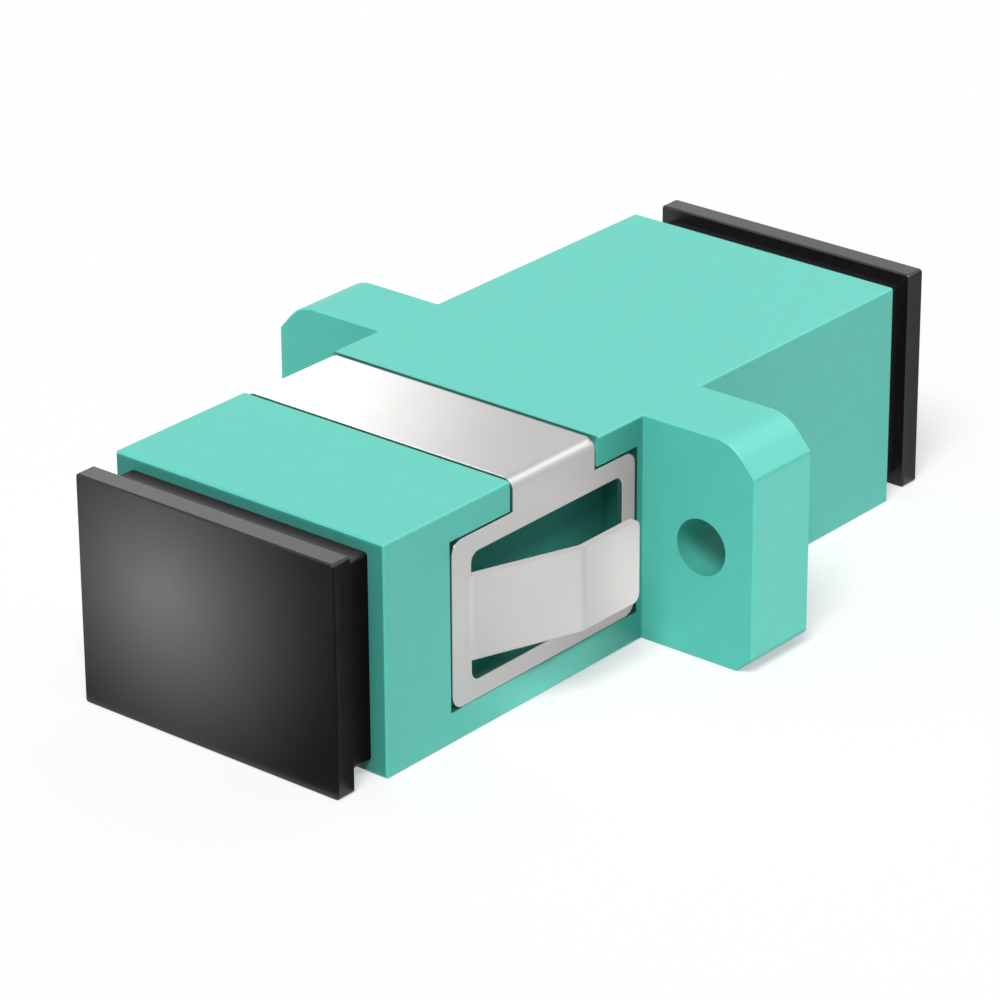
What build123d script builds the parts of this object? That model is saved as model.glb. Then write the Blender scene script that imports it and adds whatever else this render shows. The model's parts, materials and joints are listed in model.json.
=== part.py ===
"""SC simplex fibre adapter with a screw flange, a spring clip and two dust caps.

Units are millimetres. The origin lies on the optical axis, where it crosses the flange face that
meets the panel. +Y runs along the optical axis to the rear port, +X along the line of the two
flange holes, and +Z is up.

The body is two welded halves. Between them sit two latch holders, back to back, whose barrels
trap the split sleeve that lines up the two ferrules. A folded spring clip saddles the front
half, and a dust cap closes each port.
"""

import os

from build123d import *

# Body, whose front length runs from the front port face to the flange
body_length = 29.9
body_width = 12.6
body_height = 9.0
front_length = 14.3
body_edge_radius = 0.1
port_face_chamfer = 0.07

# Flange, whose outer corners are clipped by (across, down or up)
flange_width = 22.7
flange_thickness = 3.4
flange_hole_spacing = 18.0
flange_hole_diameter = 2.2
flange_top_chamfer = (1.05, 1.2)
flange_bottom_chamfer = (0.7, 0.6)
flange_top_blend = 1.6
flange_side_blend = 0.15
flange_bottom_blend = 0.2
flange_edge_chamfer = 0.06

# Port, the same at both ends
port_width = 9.05
port_height = 7.45
port_corner_radius = 0.3
port_mouth_chamfer = 0.25
keyway_width = 4.2
keyway_length = 7.0
keyway_corner_radius = 0.3

# Seat of the latch holders in the front half, closed by the rear half's register lip
seat_width = 10.7
seat_height = 8.1
seat_clearance = 0.05
seat_float = 0.03

# Ferrule and split sleeve
ferrule_diameter = 2.5
sleeve_grip = 0.005
sleeve_outer_diameter = 3.2
sleeve_length = 11.4
sleeve_slot = 0.4
sleeve_end_chamfer = 0.12

# Latch holder's plate and barrel
holder_plate_thickness = 1.5
barrel_diameter = 4.6
barrel_lip_thickness = 1.1
barrel_tip_chamfer = 0.3
barrel_root_chamfer = 0.25
sleeve_clearance = 0.05
sleeve_end_play = 0.1
ferrule_clearance = 0.2
ferrule_lead_in = 0.35

# Latch holder's two arms, with lengths counted from the plane where the holders meet
arm_gap = 7.2
arm_thickness = 0.7
arm_height = 3.0
arm_root_radius = 0.4
catch_depth = 0.65
catch_reach = 7.5
catch_slope = 0.4
catch_land = 0.5
tip_ramp_length = 1.2
tip_inner_step = 0.15
tip_outer_bevel = (0.15, 0.35)
arm_spread_room = 0.7
arm_side_clearance = 0.25
arm_end_clearance = 0.25

# Pin and hole that register one holder on the other
pin_diameter = 1.0
pin_height = 0.6
pin_clearance = 0.05
pin_place_x = 4.1
pin_place_z = 2.9

# Spring clip
clip_thickness = 0.25
clip_bend_radius = 0.42
strap_width = 4.6
strap_centre_y = -5.1
clip_plate_front_y = -10.75
clip_plate_back_y = -0.45
clip_plate_height = 6.5
clip_plate_corner = 0.55
window_front_margin = 1.05
window_back_margin = 0.75
window_side_margin = 0.75
window_corner = 0.4
tongue_height = 3.3
tongue_slant_length = 4.3
tongue_run_length = 3.2
tongue_stand_out = 1.6
tongue_bend_radius = 0.8
tongue_root_overlap = 0.6
tongue_corner = 0.35

# Recess that the clip lies in, and the hollow behind each tongue
clip_depth_clearance = 0.02
clip_edge_gap = 0.1
clip_lower_gap = 0.03
strap_edge_gap = 0.17
tongue_hollow_depth = 0.65
tongue_hollow_margin = 0.25

# Dust cap
cap_plate_width = 12.1
cap_plate_height = 9.0
cap_plate_thickness = 0.9
cap_shoulder_width = 11.1
cap_shoulder_height = 8.0
cap_shoulder_length = 1.4
cap_skirt_clearance = 0.05
cap_skirt_wall = 0.8
cap_skirt_length = 3.6
cap_skirt_lead_in = 0.3
cap_floor_thickness = 1.1
cap_corner_radius = 0.15
cap_edge_chamfer = 0.06

# Places worked out from the sizes above
rear_length = body_length - front_length
optical_plane_y = (rear_length - front_length) / 2
side_x = body_width / 2
top_z = body_height / 2
seat_front_y = optical_plane_y - holder_plate_thickness
lip_front_y = optical_plane_y + holder_plate_thickness + seat_float
plug_width = seat_width - 2 * seat_clearance
plug_height = seat_height - 2 * seat_clearance
plug_corner_radius = port_corner_radius - seat_clearance
cavity_depth = sleeve_length / 2 + sleeve_end_play
barrel_reach = cavity_depth + barrel_lip_thickness
arm_inner_x = arm_gap / 2
arm_outer_x = arm_inner_x + arm_thickness
catch_land_reach = catch_reach + catch_slope
arm_reach = catch_land_reach + catch_land + tip_ramp_length
sheet_inner_x = side_x - clip_thickness
clip_inner_radius = clip_bend_radius - clip_thickness
strap_front_y = strap_centre_y - strap_width / 2
strap_back_y = strap_centre_y + strap_width / 2
window_front_y = clip_plate_front_y + window_front_margin
window_back_y = clip_plate_back_y - window_back_margin
window_half_height = clip_plate_height / 2 - window_side_margin

# Lengths that only need to reach past the body, and a tolerance for picking edges
beyond = 1.0
through = 60.0
near = 0.001


def block(x, y, z):
    """A box between two places along each axis, in either order."""
    low = [min(pair) for pair in (x, y, z)]
    high = [max(pair) for pair in (x, y, z)]
    corner = Box(*(h - l for h, l in zip(high, low)), align=(Align.MIN, Align.MIN, Align.MIN))
    return Pos(*low) * corner


def prism_y(outline, start, end):
    """Extrudes an outline drawn in X and Z from one place along Y to another."""
    return Pos(0, start, 0) * extrude(Plane.XZ * outline, amount=start - end)


def cylinder_y(radius, start, end, x=0.0, z=0.0):
    """A round bar along Y."""
    return Pos(x, (start + end) / 2, z) * Rot(90, 0, 0) * Cylinder(radius, abs(end - start))


def turned_to_rear(shape):
    """Turns a shape made for the front port by half a turn, about the upright line in the optical plane."""
    return Pos(0, 2 * optical_plane_y, 0) * Rot(0, 0, 180) * shape


def port_cut(face_y, floor_y):
    """The port from the body's end face to its floor, with its chamfered mouth and the keyway below."""
    inward = 1 if floor_y > face_y else -1
    opening = prism_y(RectangleRounded(port_width, port_height, port_corner_radius), face_y, floor_y)
    mouth = loft(
        [
            Plane(origin=(0, face_y + depth, 0), x_dir=(1, 0, 0), z_dir=(0, -1, 0))
            * RectangleRounded(port_width + 2 * grow, port_height + 2 * grow, port_corner_radius + grow)
            for depth, grow in ((0, port_mouth_chamfer), (inward * port_mouth_chamfer, 0))
        ]
    )
    keyway = block(
        (-keyway_width / 2, keyway_width / 2),
        (face_y - inward * beyond, face_y + inward * keyway_length),
        (-top_z - beyond, 0),
    )
    inner_edges = keyway.edges().filter_by(Axis.Z).group_by(Axis.Y)[-1 if inward > 0 else 0]
    return opening + mouth + fillet(inner_edges, keyway_corner_radius)


def arm_room(direction):
    """The pair of grooves in the port's side walls that the latch arms spread into."""
    half_height = arm_height / 2 + arm_side_clearance
    reach = arm_reach + arm_end_clearance
    return block(
        (-arm_outer_x - arm_spread_room, arm_outer_x + arm_spread_room),
        (optical_plane_y, optical_plane_y + direction * reach),
        (-half_height, half_height),
    )


def body_shell(face_y):
    """The plain outside of one half, from its port face to the weld at the back of the flange."""
    shell = block((-side_x, side_x), (face_y, flange_thickness), (-top_z, top_z))
    shell = fillet(shell.edges().filter_by(Axis.Y), body_edge_radius)
    return chamfer(shell.edges().group_by(Axis.Y)[0 if face_y < 0 else -1], port_face_chamfer)


def flange():
    """The flange, with its clipped and blended outer corners and its two screw holes."""
    half = flange_width / 2
    top_across, top_down = flange_top_chamfer
    low_across, low_up = flange_bottom_chamfer
    right_side = [
        (half - low_across, -top_z),
        (half, -top_z + low_up),
        (half, top_z - top_down),
        (half - top_across, top_z),
    ]
    left_side = [(-x, z) for x, z in reversed(right_side)]
    outline = Polygon(*right_side, *left_side, align=None)
    outline = fillet(outline.vertices().filter_by(lambda corner: 0 < corner.Y < top_z - near), flange_side_blend)
    outline = fillet(outline.vertices().filter_by(lambda corner: corner.Y > top_z - near), flange_top_blend)
    outline = fillet(outline.vertices().filter_by(lambda corner: corner.Y < 0), flange_bottom_blend)
    plate = prism_y(outline, 0, flange_thickness)
    plate = chamfer(plate.faces().filter_by(Axis.Y).edges(), flange_edge_chamfer)
    for side in (-1, 1):
        plate -= cylinder_y(
            flange_hole_diameter / 2, -beyond, flange_thickness + beyond, x=side * flange_hole_spacing / 2
        )
    return plate


def clip_core():
    """What is left of the body under the clip, with upper corners that follow the inside of its bends."""
    core_x = sheet_inner_x - clip_depth_clearance
    core_z = top_z - clip_thickness - clip_depth_clearance
    core = block((-core_x, core_x), (-through, through), (-through, core_z))
    top_edges = core.edges().filter_by(Axis.Y).group_by(Axis.Z)[-1]
    return fillet(top_edges, clip_inner_radius + clip_depth_clearance)


def clip_recess():
    """The strap's groove over the top, the side plates' pockets and the hollows behind the tongues."""
    outside = side_x + beyond
    half_plate = clip_plate_height / 2
    strap_groove = block(
        (-outside, outside),
        (strap_front_y - strap_edge_gap, strap_back_y + strap_edge_gap),
        (0, top_z + beyond),
    )
    pockets = block(
        (-outside, outside),
        (clip_plate_front_y - clip_edge_gap, clip_plate_back_y + clip_edge_gap),
        (-half_plate - clip_lower_gap, half_plate + clip_edge_gap),
    )
    recess = strap_groove + pockets - clip_core()
    hollow_x = sheet_inner_x - clip_depth_clearance - tongue_hollow_depth
    hollow_z = window_half_height + tongue_hollow_margin
    for side in (-1, 1):
        recess += block(
            (side * hollow_x, side * outside),
            (window_front_y - tongue_hollow_margin, window_back_y + tongue_hollow_margin),
            (-hollow_z, hollow_z),
        )
    return recess


def front_body():
    """The front half of the body, with the flange, the clip's recess and the seat of the latch holders."""
    seat = RectangleRounded(seat_width, seat_height, port_corner_radius)
    half = body_shell(-front_length) + flange()
    half -= port_cut(-front_length, seat_front_y) + arm_room(-1)
    half -= prism_y(seat, seat_front_y, flange_thickness)
    return half - clip_recess()


def rear_body():
    """The rear half of the body, whose lip enters the seat and holds the latch holders down."""
    lip = RectangleRounded(plug_width, plug_height, plug_corner_radius)
    half = body_shell(rear_length) + prism_y(lip, lip_front_y, flange_thickness)
    return half - port_cut(rear_length, lip_front_y) - arm_room(1)


def latch_arm():
    """The right latch arm, which starts inside the plate and ends in a catch that points inward."""
    catch_x = arm_inner_x - catch_depth
    bevel_across, bevel_along = tip_outer_bevel
    outline = Polygon(
        (arm_inner_x, -holder_plate_thickness / 2),
        (arm_outer_x, -holder_plate_thickness / 2),
        (arm_outer_x, -arm_reach + bevel_along),
        (arm_outer_x - bevel_across, -arm_reach),
        (arm_inner_x + tip_inner_step, -arm_reach),
        (catch_x, -catch_land_reach - catch_land),
        (catch_x, -catch_land_reach),
        (arm_inner_x, -catch_reach),
        align=None,
    )
    return extrude(outline, amount=arm_height / 2, both=True)


def holder_blank():
    """The holder's plate, barrel and arms, thickened at their roots, before its holes."""
    plate_face_y = -holder_plate_thickness
    plate = prism_y(RectangleRounded(plug_width, plug_height, plug_corner_radius), 0, plate_face_y)
    barrel = cylinder_y(barrel_diameter / 2, 0, -barrel_reach)
    barrel = chamfer(barrel.edges().group_by(Axis.Y)[0], barrel_tip_chamfer)
    blank = plate + barrel
    on_plate = blank.edges().filter_by(lambda edge: abs(edge.center().Y - plate_face_y) < near)
    blank = chamfer(on_plate.filter_by(GeomType.CIRCLE).sort_by(SortBy.RADIUS)[-1], barrel_root_chamfer)
    arm = latch_arm()
    blank += arm + mirror(arm, about=Plane.YZ)
    on_plate = blank.edges().filter_by(lambda edge: abs(edge.center().Y - plate_face_y) < near)
    return fillet(
        on_plate.filter_by(Axis.Z).filter_by(lambda edge: abs(edge.center().X) < arm_outer_x + near),
        arm_root_radius,
    )


def latch_holder():
    """The front port's latch holder, with the plane where the two holders meet at y = 0.

    Both holders are the same moulding: each has one pin and one hole, and the pin of one enters
    the hole of the other when they stand back to back.
    """
    lip_radius = ferrule_diameter / 2 + ferrule_clearance
    lead_in = Cone(lip_radius, lip_radius + ferrule_lead_in, ferrule_lead_in)
    holder = holder_blank()
    holder -= cylinder_y(sleeve_outer_diameter / 2 + sleeve_clearance, 0, -cavity_depth)
    holder -= cylinder_y(lip_radius, 0, -barrel_reach)
    holder -= Pos(0, -barrel_reach + ferrule_lead_in / 2, 0) * Rot(90, 0, 0) * lead_in
    hole_radius = pin_diameter / 2 + pin_clearance
    holder -= cylinder_y(hole_radius, 0, -pin_height - pin_clearance, x=-pin_place_x, z=pin_place_z)
    return holder + cylinder_y(pin_diameter / 2, 0, pin_height, x=pin_place_x, z=pin_place_z)


def split_sleeve():
    """The split sleeve that grips both ferrules, with its slot on top."""
    bore_radius = (ferrule_diameter - sleeve_grip) / 2
    front_y = optical_plane_y - sleeve_length / 2
    back_y = optical_plane_y + sleeve_length / 2
    sleeve = cylinder_y(sleeve_outer_diameter / 2, front_y, back_y) - cylinder_y(bore_radius, front_y, back_y)
    sleeve = chamfer(sleeve.edges().filter_by(GeomType.CIRCLE), sleeve_end_chamfer)
    return sleeve - block((-sleeve_slot / 2, sleeve_slot / 2), (front_y, back_y), (0, sleeve_outer_diameter))


def clip_strap():
    """The strap over the body, bent down at both sides as far as the middle of the side plates."""
    outer = block((-side_x, side_x), (strap_front_y, strap_back_y), (0, top_z))
    outer = fillet(outer.edges().filter_by(Axis.Y).group_by(Axis.Z)[-1], clip_bend_radius)
    inner = block(
        (-sheet_inner_x, sheet_inner_x),
        (strap_front_y, strap_back_y),
        (-beyond, top_z - clip_thickness),
    )
    return outer - fillet(inner.edges().filter_by(Axis.Y).group_by(Axis.Z)[-1], clip_inner_radius)


def clip_side_plate():
    """The right side plate, a frame round the window that its tongue was cut from."""
    half_plate = clip_plate_height / 2
    return fillet(
        block(
            (sheet_inner_x, side_x), (clip_plate_front_y, clip_plate_back_y), (-half_plate, half_plate)
        ).edges().filter_by(Axis.X),
        clip_plate_corner,
    )


def clip_window():
    """The opening in the right side plate."""
    return fillet(
        block(
            (sheet_inner_x, side_x),
            (window_front_y, window_back_y),
            (-window_half_height, window_half_height),
        ).edges().filter_by(Axis.X),
        window_corner,
    )


def clip_tongue():
    """The right tongue, which leaves the window's front edge, slants outward and runs on beside the body."""
    sheet_x = side_x - clip_thickness / 2
    kink_y = window_front_y + tongue_slant_length
    root = (sheet_x, window_front_y - tongue_root_overlap)
    path = FilletPolyline(
        root,
        (sheet_x, window_front_y),
        (sheet_x + tongue_stand_out, kink_y),
        (sheet_x + tongue_stand_out, kink_y + tongue_run_length),
        radius=tongue_bend_radius,
    )
    section = Plane(origin=root, x_dir=(0, 0, 1), z_dir=(0, 1, 0)) * Rectangle(tongue_height, clip_thickness)
    tongue = sweep(section, path)
    return fillet(tongue.edges().filter_by(Axis.X).group_by(Axis.Y)[-1], tongue_corner)


def spring_clip():
    """The clip, folded from one strip of sheet, with a window and a tongue at each side."""
    right_side = clip_side_plate() - clip_window() + clip_tongue()
    left_side = mirror(right_side, about=Plane.YZ)
    windows = clip_window() + mirror(clip_window(), about=Plane.YZ)
    return clip_strap() - windows + right_side + left_side


def dust_cap():
    """The front dust cap: a pull plate, a shoulder that meets the body and a hollow skirt in the port."""
    face_y = -front_length
    shoulder_y = face_y - cap_shoulder_length
    plate_y = shoulder_y - cap_plate_thickness
    skirt_end_y = face_y + cap_skirt_length
    plate_outline = RectangleRounded(cap_plate_width, cap_plate_height, cap_corner_radius)
    plate = prism_y(plate_outline, plate_y, shoulder_y)
    plate = chamfer(plate.edges().group_by(Axis.Y)[0] + plate.edges().group_by(Axis.Y)[-1], cap_edge_chamfer)
    shoulder = RectangleRounded(cap_shoulder_width, cap_shoulder_height, cap_corner_radius)
    skirt_width = port_width - 2 * cap_skirt_clearance
    skirt_height = port_height - 2 * cap_skirt_clearance
    skirt = prism_y(
        RectangleRounded(skirt_width, skirt_height, port_corner_radius), shoulder_y, skirt_end_y
    )
    skirt = chamfer(skirt.edges().group_by(Axis.Y)[-1], cap_skirt_lead_in)
    hollow = RectangleRounded(
        skirt_width - 2 * cap_skirt_wall, skirt_height - 2 * cap_skirt_wall, port_corner_radius
    )
    cap = plate + prism_y(shoulder, plate_y + cap_edge_chamfer, face_y) + skirt
    return cap - prism_y(hollow, plate_y + cap_floor_thickness, skirt_end_y)


front_latch_holder = Pos(0, optical_plane_y, 0) * latch_holder()
front_dust_cap = dust_cap()

nodes = {
    "front_body": front_body(),
    "rear_body": rear_body(),
    "front_latch_holder": front_latch_holder,
    "rear_latch_holder": turned_to_rear(front_latch_holder),
    "split_sleeve": split_sleeve(),
    "spring_clip": spring_clip(),
    "front_dust_cap": front_dust_cap,
    "rear_dust_cap": turned_to_rear(front_dust_cap),
}

os.makedirs("parts", exist_ok=True)
for name, shape in nodes.items():
    export_step(shape, f"parts/{name}.step")
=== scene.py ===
import json
from math import cos, pi, radians, sin

import bpy
from mathutils import Matrix, Vector


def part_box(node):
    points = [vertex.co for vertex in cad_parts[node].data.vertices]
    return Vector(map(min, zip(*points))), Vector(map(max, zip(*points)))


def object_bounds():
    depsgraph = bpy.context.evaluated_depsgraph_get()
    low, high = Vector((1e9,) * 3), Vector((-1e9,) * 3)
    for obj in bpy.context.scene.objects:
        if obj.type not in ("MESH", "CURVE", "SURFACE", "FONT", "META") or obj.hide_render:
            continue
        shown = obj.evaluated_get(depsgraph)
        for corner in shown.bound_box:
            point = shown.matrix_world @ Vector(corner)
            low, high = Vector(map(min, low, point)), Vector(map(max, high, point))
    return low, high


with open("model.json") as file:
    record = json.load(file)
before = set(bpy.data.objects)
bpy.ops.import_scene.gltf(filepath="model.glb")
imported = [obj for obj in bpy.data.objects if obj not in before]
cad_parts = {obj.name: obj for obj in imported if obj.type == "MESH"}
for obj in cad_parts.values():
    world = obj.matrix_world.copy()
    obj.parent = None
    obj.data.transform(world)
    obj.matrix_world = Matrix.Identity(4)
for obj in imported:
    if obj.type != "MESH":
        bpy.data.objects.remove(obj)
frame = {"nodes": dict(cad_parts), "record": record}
cad_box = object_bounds()
scene = bpy.context.scene
scene.view_settings.view_transform = "Standard"
mm = 0.001

# Camera, fitted to the corners of the object in the photograph
camera_data = bpy.data.cameras.new("camera")
camera_data.lens = 171.95
camera_data.clip_start = 0.01
camera = bpy.data.objects.new("camera", camera_data)
camera.location = (0.103195, -0.124757, 0.073285)
camera.rotation_euler = (radians(65.4396), radians(0.2964), radians(39.5785))
scene.collection.objects.link(camera)
scene.camera = camera

# Places on the part, in mm, that the cards and shades go by. Each x holds to the left and right of the axis,
# and each z but the floor's holds above and below it.
floor_z = cad_box[0][2] / mm
top_z = cad_box[1][2] / mm
flange_x = cad_box[1][0] / mm
flange_back_y = 3.4
hole_x = 9.0
hole_radius = 1.1
body_x = 6.3
front_port_y = -14.3
rear_port_y = 15.6
cap_shoulder_x = 5.55
cap_shoulder_z = 4.0
cap_plate_x = 6.05
cap_plate_thickness = 0.9
cap_front_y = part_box("front_dust_cap")[0][1] / mm
strap_front_y = -7.4
strap_back_y = -2.8
strap_middle_y = (strap_front_y + strap_back_y) / 2
plate_inner_x = 6.03
plate_back_y = -0.45
plate_z = 3.25
window_front_y = -9.7
window_back_y = -1.2
window_z = 2.5
tongue_end_y = -2.2
tongue_z = 1.65


# Node trees: a small kit, in which a value is a constant or another node's output
def node(tree, kind, inputs=None, **settings):
    """Adds a node, gives it its settings and feeds its inputs."""
    new = tree.nodes.new(kind)
    for name, value in settings.items():
        setattr(new, name, value)
    for name, value in (inputs or {}).items():
        if isinstance(value, bpy.types.NodeSocket):
            tree.links.new(value, new.inputs[name])
        else:
            new.inputs[name].default_value = value
    return new


def maths(tree, operation, *terms):
    return node(tree, "ShaderNodeMath", dict(enumerate(terms)), operation=operation).outputs[0]


def length(tree, place):
    return node(tree, "ShaderNodeVectorMath", {0: place}, operation="LENGTH").outputs["Value"]


def ramp(tree, source, start, end, kind="SMOOTHSTEP"):
    """A change from one end to another, where an end is a value of the source and the result there."""
    inputs = {0: source, "From Min": start[0], "From Max": end[0], "To Min": start[1], "To Max": end[1]}
    return node(tree, "ShaderNodeMapRange", inputs, interpolation_type=kind).outputs[0]


def along(tree, axis, start, end, kind="SMOOTHSTEP"):
    """A change along one of the object's own axes, where an end is a place in mm and the result there."""
    place = node(tree, "ShaderNodeTexCoord").outputs["Object"]
    place_there = node(tree, "ShaderNodeSeparateXYZ", {0: place}).outputs[axis]
    return ramp(tree, place_there, (start[0] * mm, start[1]), (end[0] * mm, end[1]), kind)


def light_path(tree, *kinds):
    """A mask that is 1 for rays of any of the named kinds."""
    path = node(tree, "ShaderNodeLightPath")
    mask = path.outputs[kinds[0]]
    for kind in kinds[1:]:
        mask = maths(tree, "MAXIMUM", mask, path.outputs[kind])
    return mask


def grey(level):
    return (level, level, level, 1)


def diffuse(tree, level):
    return node(tree, "ShaderNodeBsdfDiffuse", {"Color": grey(level)}).outputs[0]


def emission(tree, strength, colour=grey(1.0)):
    return node(tree, "ShaderNodeEmission", {"Color": colour, "Strength": strength}).outputs[0]


def clear(tree, share=grey(1.0)):
    """Lets a share of the light pass straight through."""
    return node(tree, "ShaderNodeBsdfTransparent", {"Color": share}).outputs[0]


def added(tree, first, second):
    return node(tree, "ShaderNodeAddShader", {0: first, 1: second}).outputs[0]


def mixed(tree, share, first, second):
    """The first shader where the share is 0 and the second where it is 1."""
    return node(tree, "ShaderNodeMixShader", {0: share, 1: first, 2: second}).outputs[0]


def surface(tree, shader):
    node(tree, "ShaderNodeOutputMaterial", {"Surface": shader})


def empty_material(name):
    material = bpy.data.materials.new(name)
    material.use_nodes = True
    material.node_tree.nodes.clear()
    return material, material.node_tree


# Studio: an even dome, a soft key from above, front and right, and a white floor
dome_strength = 0.3
key_irradiance = 0.84
key_from = Vector((0.28, -0.49, 0.825))
key_spread = radians(26)
white = 0.99
floor_half = 1000
floor_bounce = 0.66
floor_shown = 0.55

# Bright patches that only reflections show: direction, cosine at their edge and core, strength
panels = (
    (Vector((0.30, 0.72, 0.62)), 0.92, 0.98, 0.9),
    (Vector((-0.58, -0.42, 0.70)), 0.90, 0.97, 0.4),
)

world = bpy.data.worlds.new("studio")
world.use_nodes = True
scene.world = world
tree = world.node_tree
tree.nodes.clear()
direction = node(tree, "ShaderNodeTexCoord").outputs["Generated"]
glossy_level = white
for towards, edge, core, strength in panels:
    inputs = {0: direction, 1: towards.normalized()}
    facing = node(tree, "ShaderNodeVectorMath", inputs, operation="DOT_PRODUCT").outputs["Value"]
    glossy_level = maths(tree, "ADD", glossy_level, ramp(tree, facing, (edge, 0.0), (core, strength)))
dome, backdrop, reflected = [
    node(tree, "ShaderNodeBackground", {"Color": grey(1.0), "Strength": strength}).outputs[0]
    for strength in (dome_strength, white, glossy_level)
]
shown = mixed(tree, light_path(tree, "Is Camera Ray", "Is Transmission Ray"), dome, backdrop)
shown = mixed(tree, light_path(tree, "Is Glossy Ray"), shown, reflected)
node(tree, "ShaderNodeOutputWorld", {"Surface": shown})

key_data = bpy.data.lights.new("key", "SUN")
key_data.energy = key_irradiance * pi
key_data.angle = key_spread
key = bpy.data.objects.new("key", key_data)
key.rotation_euler = key_from.to_track_quat("Z", "Y").to_euler()
scene.collection.objects.link(key)


def about(half):
    """A span with its middle on the axis."""
    return (-half, half)


def patch(axis, place, first, second, side=1):
    """Corners of a rectangle across an axis, from its place there and its spans along the two others.

    Side -1 mirrors it to the left of the part.
    """
    corners = []
    for i, j in ((0, 0), (1, 0), (1, 1), (0, 1)):
        corner = [first[i], second[j]]
        corner.insert("XYZ".index(axis), place)
        corners.append((side * corner[0], corner[1], corner[2]))
    return corners


def stage_plane(name, *outlines):
    """A flat object with a face in each outline, in mm, and an empty material of its own."""
    corners = []
    faces = []
    for outline in outlines:
        faces.append(tuple(range(len(corners), len(corners) + len(outline))))
        corners += [[coordinate * mm for coordinate in corner] for corner in outline]
    mesh = bpy.data.meshes.new(name)
    mesh.from_pydata(corners, [], faces)
    plane = bpy.data.objects.new(name, mesh)
    scene.collection.objects.link(plane)
    material, tree = empty_material(name)
    mesh.materials.append(material)
    return plane, tree


floor, tree = stage_plane("floor", patch("Z", floor_z, about(floor_half), about(floor_half)))
seen = light_path(tree, "Is Camera Ray", "Is Glossy Ray", "Is Transmission Ray")
shown = added(tree, diffuse(tree, floor_shown), emission(tree, 1 - floor_shown))
surface(tree, mixed(tree, seen, diffuse(tree, floor_bounce), shown))


# Reflection cards, which no camera or shadow ray meets and which light only the named nodes
def reflection_card(name, nodes, outline):
    card, tree = stage_plane(name, outline)
    card.visible_camera = card.visible_diffuse = card.visible_shadow = False
    lit = bpy.data.collections.new(f"lit_by_{name}")
    for lit_name in nodes:
        lit.objects.link(frame["nodes"][lit_name])
    card.light_linking.receiver_collection = lit
    return card, tree


def glow_solid(tree, strength, colour=grey(1.0)):
    """Light that hides what lies behind the card."""
    surface(tree, emission(tree, strength, colour))


def glow_through(tree, strength):
    """Light that adds to what lies behind the card."""
    surface(tree, added(tree, emission(tree, strength), clear(tree)))


def glow_fading(tree, strength, cover):
    """Light that hides what lies behind the card where the cover is 1 and clears away where it is 0."""
    surface(tree, mixed(tree, cover, clear(tree), emission(tree, strength)))


# Behind is where the camera's view goes once a level face of the part mirrors it, and across is the x axis
# of the cards that stand there
behind = Vector((-0.581, 0.700, 0.416))
across = Vector((0.814, 0.500, 0.297))
facing_camera = Matrix((across, behind.cross(across), behind)).transposed().to_4x4()


def card_behind(name, nodes, centre, distance, half, left, right):
    """A card mirrored about the centre. Left and right are a place across it and the strength there."""
    card, tree = reflection_card(name, nodes, patch("Z", 0, about(half), about(half)))
    card.matrix_world = facing_camera
    card.location = (Vector(centre) + behind * distance) * mm
    glow_through(tree, along(tree, "X", left, right, "LINEAR"))


# For the clip's strap, brighter to the left, and for the caps' upper edges
card_behind(
    "strap_card", ["spring_clip"], centre=(0, strap_middle_y, top_z),
    distance=14, half=12, left=(-9.5, 2.25), right=(2.9, 0.0),
)
card_behind(
    "cap_card", ["front_dust_cap", "rear_dust_cap"], centre=(0, 0, top_z),
    distance=60, half=32, left=(-6, 0.85), right=(6, 0.2),
)

glint_distance = 40
glint_core = 4


def glint(name, nodes, centre, towards, half, strength):
    """A soft round light, mirrored at the centre, which lies in the direction given."""
    card, tree = reflection_card(name, nodes, patch("Z", 0, about(half), about(half)))
    card.location = (Vector(centre) + Vector(towards).normalized() * glint_distance) * mm
    card.rotation_euler = Vector(towards).to_track_quat("Z", "Y").to_euler()
    away = length(tree, node(tree, "ShaderNodeTexCoord").outputs["Object"])
    glow_through(tree, ramp(tree, away, (glint_core * mm, strength), (half * mm, 0.0)))


# On the clip's folds, the strap's front edge, the flange's shoulder and the front cap's upper edge
glint(
    "fold_card", ["spring_clip"], centre=(body_x - 0.2, strap_middle_y, top_z - 0.2),
    towards=(0.416, 0.700, 0.581), half=34, strength=0.25,
)
glint(
    "strap_edge_card", ["spring_clip"], centre=(0, strap_front_y, top_z),
    towards=(-0.581, -0.050, 0.812), half=21, strength=6.0,
)
glint(
    "shoulder_card", ["front_body", "rear_body"], centre=(10.5, flange_back_y / 2, top_z - 0.3),
    towards=(0.2, 0.7, 0.68), half=34, strength=1.6,
)
glint(
    "cap_edge_card", ["front_dust_cap"], centre=(0, cap_front_y, top_z),
    towards=(-0.581, -0.416, 0.700), half=34, strength=1.3,
)

# Close in front of the front cap, on a plane that leans outward a little: a soft pool of light in a dark
# surround. Each corner is where the camera's view meets that plane, once a place on the plane of the cap's
# face mirrors it, and the corner's UV is that place, in mm from the middle of the pool.
pool_middle = Vector((-2.15, 1.1))
pool_radius = 9.0
pool_falloff = 1.8
pool_strength = 3.5
surround_strength = 0.1
surround_fades_from = 16.0
surround_ends_at = 22.0
mirrored_view = Vector((-0.630, -0.646, -0.431))
card_foot = Vector((0, cap_front_y - 0.2, floor_z + 0.1))
card_normal = Vector((0, 1.0, 0.3))
corners = []
places = []
for x, y, z in patch("Y", cap_front_y, (-24.0, 20.0), (-4.3, 20.0)):
    place = Vector((x, y, z))
    reach = card_normal.dot(card_foot - place) / card_normal.dot(mirrored_view)
    corners.append(place + mirrored_view * reach)
    places.append(Vector((x, z)) - pool_middle)
card, tree = reflection_card("pool_card", ["front_dust_cap"], corners)
uv = card.data.uv_layers.new(name="place")
for loop, place in zip(uv.data, places):
    loop.uv = place
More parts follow.
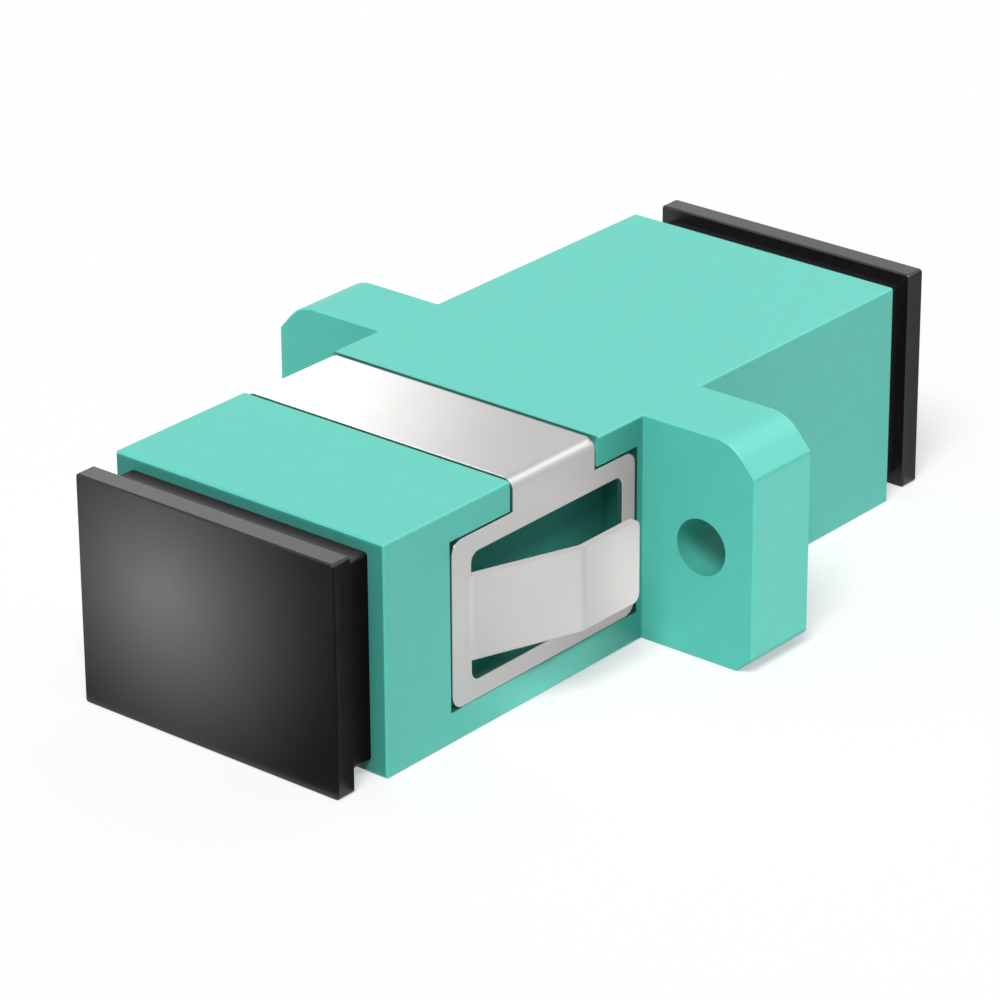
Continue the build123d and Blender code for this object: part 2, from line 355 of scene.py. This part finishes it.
away = length(tree, node(tree, "ShaderNodeTexCoord").outputs["UV"])
near = maths(tree, "POWER", ramp(tree, away, (0.0, 1.0), (pool_radius, 0.0), "LINEAR"), pool_falloff)
pool = maths(tree, "MULTIPLY_ADD", near, pool_strength, surround_strength)
glow_fading(tree, pool, ramp(tree, away, (surround_fades_from, 1.0), (surround_ends_at, 0.0)))

# Just behind the plate of each cap, a narrow grey card that its right and left faces mirror
for cap, level in (("front_dust_cap", 0.1), ("rear_dust_cap", 0.42)):
    low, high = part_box(cap)
    back_y = low[1] / mm + cap_plate_thickness if cap == "front_dust_cap" else high[1] / mm
    for side in (-1, 1):
        outline = patch("Y", back_y + 0.05, (cap_plate_x + 0.02, 7.2), about(4.6), side)
        card, tree = reflection_card("edge_card", [cap], outline)
        glow_solid(tree, level)

# Over the rim of the front port, for the cap's shoulder: grey above it, dark beside it
port_card_y = front_port_y - 0.006
above = (about(body_x - 0.05), (cap_shoulder_z - 0.02, top_z - 0.04))
beside = ((cap_shoulder_x - 0.05, 7.0), (floor_z + 0.05, cap_shoulder_z - 0.02))
port_cards = ((above, 1, 0.25, 0.85), (beside, 1, 0.0, 0.0), (beside, -1, 0.0, 0.0))
for spans, side, low_strength, high_strength in port_cards:
    card, tree = reflection_card("port_card", ["front_dust_cap"], patch("Y", port_card_y, *spans, side))
    glow_solid(tree, along(tree, "Z", (cap_shoulder_z, low_strength), (cap_shoulder_z + 0.4, high_strength)))

# Dark green that the clip's steel mirrors in its windows: a painted reflection of the shaded hollow
painted_hollow_reflection_green = (0.014, 0.11, 0.09, 1)
for side in (-1, 1):
    # In front of the flange, for the clip's sides: grey by the body and brightest for the tongue
    outline = patch("Y", -0.05, (body_x + 0.05, flange_x - 0.05), (floor_z, top_z - 0.1), side)
    card, tree = reflection_card("flange_card", ["spring_clip"], outline)
    strength = along(tree, "X", (side * 6.6, 0.6), (side * 10.2, 1.0))
    outside = along(tree, "X", (side * 7.7, 0.0), (side * 8.5, 0.55))
    below = along(tree, "Z", (1.0, 0.0), (-1.2, 1.0))
    glow_solid(tree, maths(tree, "ADD", strength, maths(tree, "MULTIPLY", outside, below)))

    # Just over the floor, for the slanted part of the tongue
    outline = patch("Z", floor_z + 0.05, (12, 26), (-14, 2), side)
    card, tree = reflection_card("tongue_card", ["spring_clip"], outline)
    strength = along(tree, "Y", (-9.5, 0.05), (-4.0, 0.4))
    fading = along(tree, "Y", (-3.5, 1.0), (-0.5, 0.0))
    glow_through(tree, maths(tree, "MULTIPLY", strength, fading))

    # Level with the foot of the clip's plate, for its lower bar
    outline = patch("Z", -plate_z - 0.17, (body_x + 0.03, 7.7), (-9, -0.1), side)
    card, tree = reflection_card("bar_card", ["spring_clip"], outline)
    strength = along(tree, "Y", (-5.6, 0.9), (-2.1, 0.7))
    glow_fading(tree, strength, along(tree, "Y", (-8.1, 0.0), (-5.1, 1.0)))

    # Over the tongue's top edge, for that edge and for the bar above the window
    tongue_span = (window_front_y, tongue_end_y + 0.1)
    outline = patch("Z", tongue_z + 0.03, (plate_inner_x + 0.01, 8.0), tongue_span, side)
    card, tree = reflection_card("over_tongue_card", ["spring_clip"], outline)
    glow_solid(tree, strength=1.05)

    # Inside the clip's window, a dark sheet that dims the light: painted shade on the hollow behind it, most
    # of all by its rear wall
    window_span = (window_front_y - 0.2, window_back_y + 0.1)
    outline = patch("X", plate_inner_x, window_span, about(window_z + 0.2), side)
    card, tree = reflection_card("window_card", ["spring_clip"], outline)
    card.visible_diffuse = card.visible_shadow = True
    shaded = clear(tree, along(tree, "Y", (-4.5, 0.62), (-1.5, 0.2)))
    # To the clip's reflections the sheet glows dark green instead: a painted reflection of the shaded hollow
    painted_hollow_reflection = emission(tree, strength=1.0, colour=painted_hollow_reflection_green)
    surface(tree, mixed(tree, light_path(tree, "Is Glossy Ray"), shaded, painted_hollow_reflection))

    # A little light for the flange's outer side. Its strength is level over the whole card, but given as a
    # plain constant it renders the flange hole a little lighter.
    outline = patch("X", flange_x + 0.05, (0, flange_back_y), (-3.8, 3.2), side)
    card, tree = reflection_card("outer_card", ["front_body"], outline)
    card.visible_diffuse = True
    glow_through(tree, along(tree, "Z", (-4.5, 0.0), (-4.4, 0.16)))

    # A little light for the body under the clip, in the tongue's shadow
    outline = patch("Z", floor_z + 0.03, (body_x + 0.02, 8.2), (-10.5, -0.4), side)
    card, tree = reflection_card("under_card", ["front_body"], outline)
    card.visible_diffuse = True
    strength = along(tree, "Y", (-9.5, 0.0), (-5.5, 0.55))
    fading = along(tree, "Y", (-4.0, 1.0), (-0.4, 0.5))
    glow_through(tree, maths(tree, "MULTIPLY", strength, fading))


# Thin shades, just off the body and unseen by the camera, that dim the light in its recessed corners
def shade(name, *outlines, glossy=True):
    sheet, tree = stage_plane(name, *outlines)
    sheet.visible_camera = False
    sheet.visible_glossy = glossy
    return tree


# On the rim of each port, round the shoulder of its cap
for face_y in (front_port_y - 0.04, rear_port_y + 0.04):
    outer = patch("Y", face_y, about(body_x - 0.06), about(top_z - 0.06))
    inner = patch("Y", face_y, about(cap_shoulder_x - 0.05), about(cap_shoulder_z - 0.05))
    tree = shade("port_shade", *[(outer[i - 1], outer[i], inner[i], inner[i - 1]) for i in range(4)])
    surface(tree, clear(tree, share=grey(0.57)))

for side in (-1, 1):
    # Above, below and behind the clip's plate, darker towards the flange
    side_shade_x = body_x + 0.02
    edge_z = plate_z + 0.01
    tree = shade(
        "side_shade",
        patch("X", side_shade_x, (-2.7, -0.02), (edge_z, top_z - 0.08), side),
        patch("X", side_shade_x, (-4.5, -0.02), (-top_z + 0.08, -edge_z), side),
        patch("X", side_shade_x, (plate_back_y - 0.01, -0.02), about(edge_z), side),
    )
    surface(tree, clear(tree, along(tree, "Y", (-4.5, 1.0), (0.5, 0.6))))

    # Over the gap behind the plate and over the four corners of the recess that it lies in
    gap_shade_x = body_x + 0.01
    gap_front = -0.65
    recess_front, recess_back = (-10.86, -0.34)
    recess_low, recess_high = (-3.29, 3.36)
    gaps = [patch("X", gap_shade_x, (gap_front, recess_back), (recess_low, recess_high), side)]
    for y, z, y_end, z_end in (
        (gap_front, recess_high, -1.0, 3.0),
        (gap_front, recess_low, -1.0, -2.9),
        (recess_front, recess_low, -10.3, -2.7),
        (recess_front, recess_high, -10.3, 2.7),
    ):
        gaps.append([(side * gap_shade_x, *corner) for corner in ((y, z), (y_end, z), (y, z_end))])
    tree = shade("gap_shade", *gaps, glossy=False)
    surface(tree, clear(tree, share=grey(0.12)))

# Over the ends of each flange hole: dimmer light at the front, and at the back a dark green glow in place of
# the mirrored white backdrop, a painted reflection
rim_radius = hole_radius - 0.01
rim_points = 32
painted_hole_reflection_green = (0.02, 0.12, 0.09, 1)
for side in (-1, 1):
    angles = [2 * pi * i / rim_points for i in range(rim_points)]
    rim = [(side * hole_x + rim_radius * cos(angle), rim_radius * sin(angle)) for angle in angles]
    tree = shade("hole_shade", [(x, -0.02, z) for x, z in rim])
    surface(tree, clear(tree, share=grey(0.58)))
    # At the back, a card that only the hole's walls mirror, glowing dark green: a painted reflection
    back_rim = [(x, flange_back_y + 0.02, z) for x, z in rim]
    card, tree = reflection_card("hole_card", ["front_body"], back_rim)
    glow_solid(tree, strength=1.0, colour=painted_hole_reflection_green)

# Along the back edge of the strap
tree = shade("groove_shade", patch("Z", top_z + 0.02, about(body_x), (strap_back_y, strap_back_y + 0.2)))
surface(tree, clear(tree, share=grey(0.3)))

# Materials, in which only the middle range of a noise counts
noise_low = 0.3
noise_high = 0.7


def grain(tree, size, detail=2.0, stretch=(1, 1, 1)):
    """Noise whose features are about the given size in mm, longer where stretch is below 1."""
    place = node(tree, "ShaderNodeTexCoord").outputs["Object"]
    scaled = node(tree, "ShaderNodeMapping", {"Vector": place, "Scale": stretch}).outputs[0]
    inputs = {"Vector": scaled, "Scale": 1 / (size * mm), "Detail": detail}
    return node(tree, "ShaderNodeTexNoise", inputs).outputs[0]


def spread(tree, noise, middle, amount):
    """Maps a noise onto a range about a middle value."""
    return ramp(tree, noise, (noise_low, middle - amount), (noise_high, middle + amount), "LINEAR")


def tinted(tree, noise, colour, amount):
    """Turns a noise into a colour that moves a little between a darker and a lighter tint."""
    tints = node(tree, "ShaderNodeValToRGB", {0: noise})
    ends = ((noise_low, 1 - amount), (noise_high, 1 + amount))
    for element, (position, level) in zip(tints.color_ramp.elements, ends):
        element.position = position
        element.color = (*[channel * level for channel in colour], 1)
    return tints.outputs[0]


def bumped(tree, noise, height, below=None):
    """Bump from a noise, with its height in mm, on top of another bump."""
    inputs = {"Height": noise, "Distance": height * mm}
    if below:
        inputs["Normal"] = below
    return node(tree, "ShaderNodeBump", inputs).outputs[0]


def finished(tree, colour, roughness, normal, **constants):
    """The shader, with its constant values on its own sockets."""
    inputs = {"Base Color": colour, "Roughness": roughness, "Normal": normal, **constants}
    surface(tree, node(tree, "ShaderNodeBsdfPrincipled", inputs).outputs[0])


def moulded(name, colour, roughness, texture, mottle=0.02, wave=0.01, uneven=0.03, ior=1.5):
    """Moulded plastic: a fine satin texture, slow waves with their height in mm, and slight mottling."""
    material, tree = empty_material(name)
    fine = grain(tree, size=texture, detail=3.0)
    broad = grain(tree, size=3.5)
    middle = grain(tree, size=0.9)
    normal = bumped(tree, fine, height=0.002, below=bumped(tree, broad, height=wave))
    base = tinted(tree, middle, colour, mottle)
    finished(tree, base, spread(tree, middle, roughness, uneven), normal, IOR=ior)
    return material


def rolled_steel(name, colour, roughness, uneven=0.04):
    """Rolled sheet: streaks along the strip, which run over the top and down the sides."""
    material, tree = empty_material(name)
    streaks = grain(tree, size=0.05, detail=3.0, stretch=(0.008, 1, 0.008))
    broad = grain(tree, size=1.6)
    edges = node(tree, "ShaderNodeBevel", {"Radius": 0.07 * mm}, samples=6).outputs[0]
    normal = bumped(tree, streaks, height=0.0003, below=bumped(tree, broad, height=0.002, below=edges))
    base = tinted(tree, broad, colour, amount=0.015)
    finished(tree, base, spread(tree, streaks, roughness, uneven), normal, Metallic=1.0)
    return material


# The finish of each slot in the record
finishes = {
    "aqua_plastic": moulded("aqua_plastic", (0.11, 0.64, 0.53), roughness=0.42, texture=0.12),
    "holder_plastic": moulded("holder_plastic", (0.72, 0.71, 0.66), roughness=0.45, texture=0.12),
    "sleeve_ceramic": moulded(
        "sleeve_ceramic", (0.88, 0.87, 0.84), roughness=0.22, texture=0.05,
        mottle=0.01, ior=2.1,
    ),
    "clip_steel": rolled_steel("clip_steel", (0.50, 0.495, 0.485), roughness=0.34),
    "cap_rubber": moulded(
        "cap_rubber", (0.006, 0.006, 0.006), roughness=0.36, texture=0.16,
        mottle=0.03, wave=0.001, uneven=0.01,
    ),
}
for part in frame["record"]["subparts"]:
    mesh = frame["nodes"][part["node"]].data
    mesh.materials.clear()
    mesh.materials.append(finishes[part["material_slot"]])
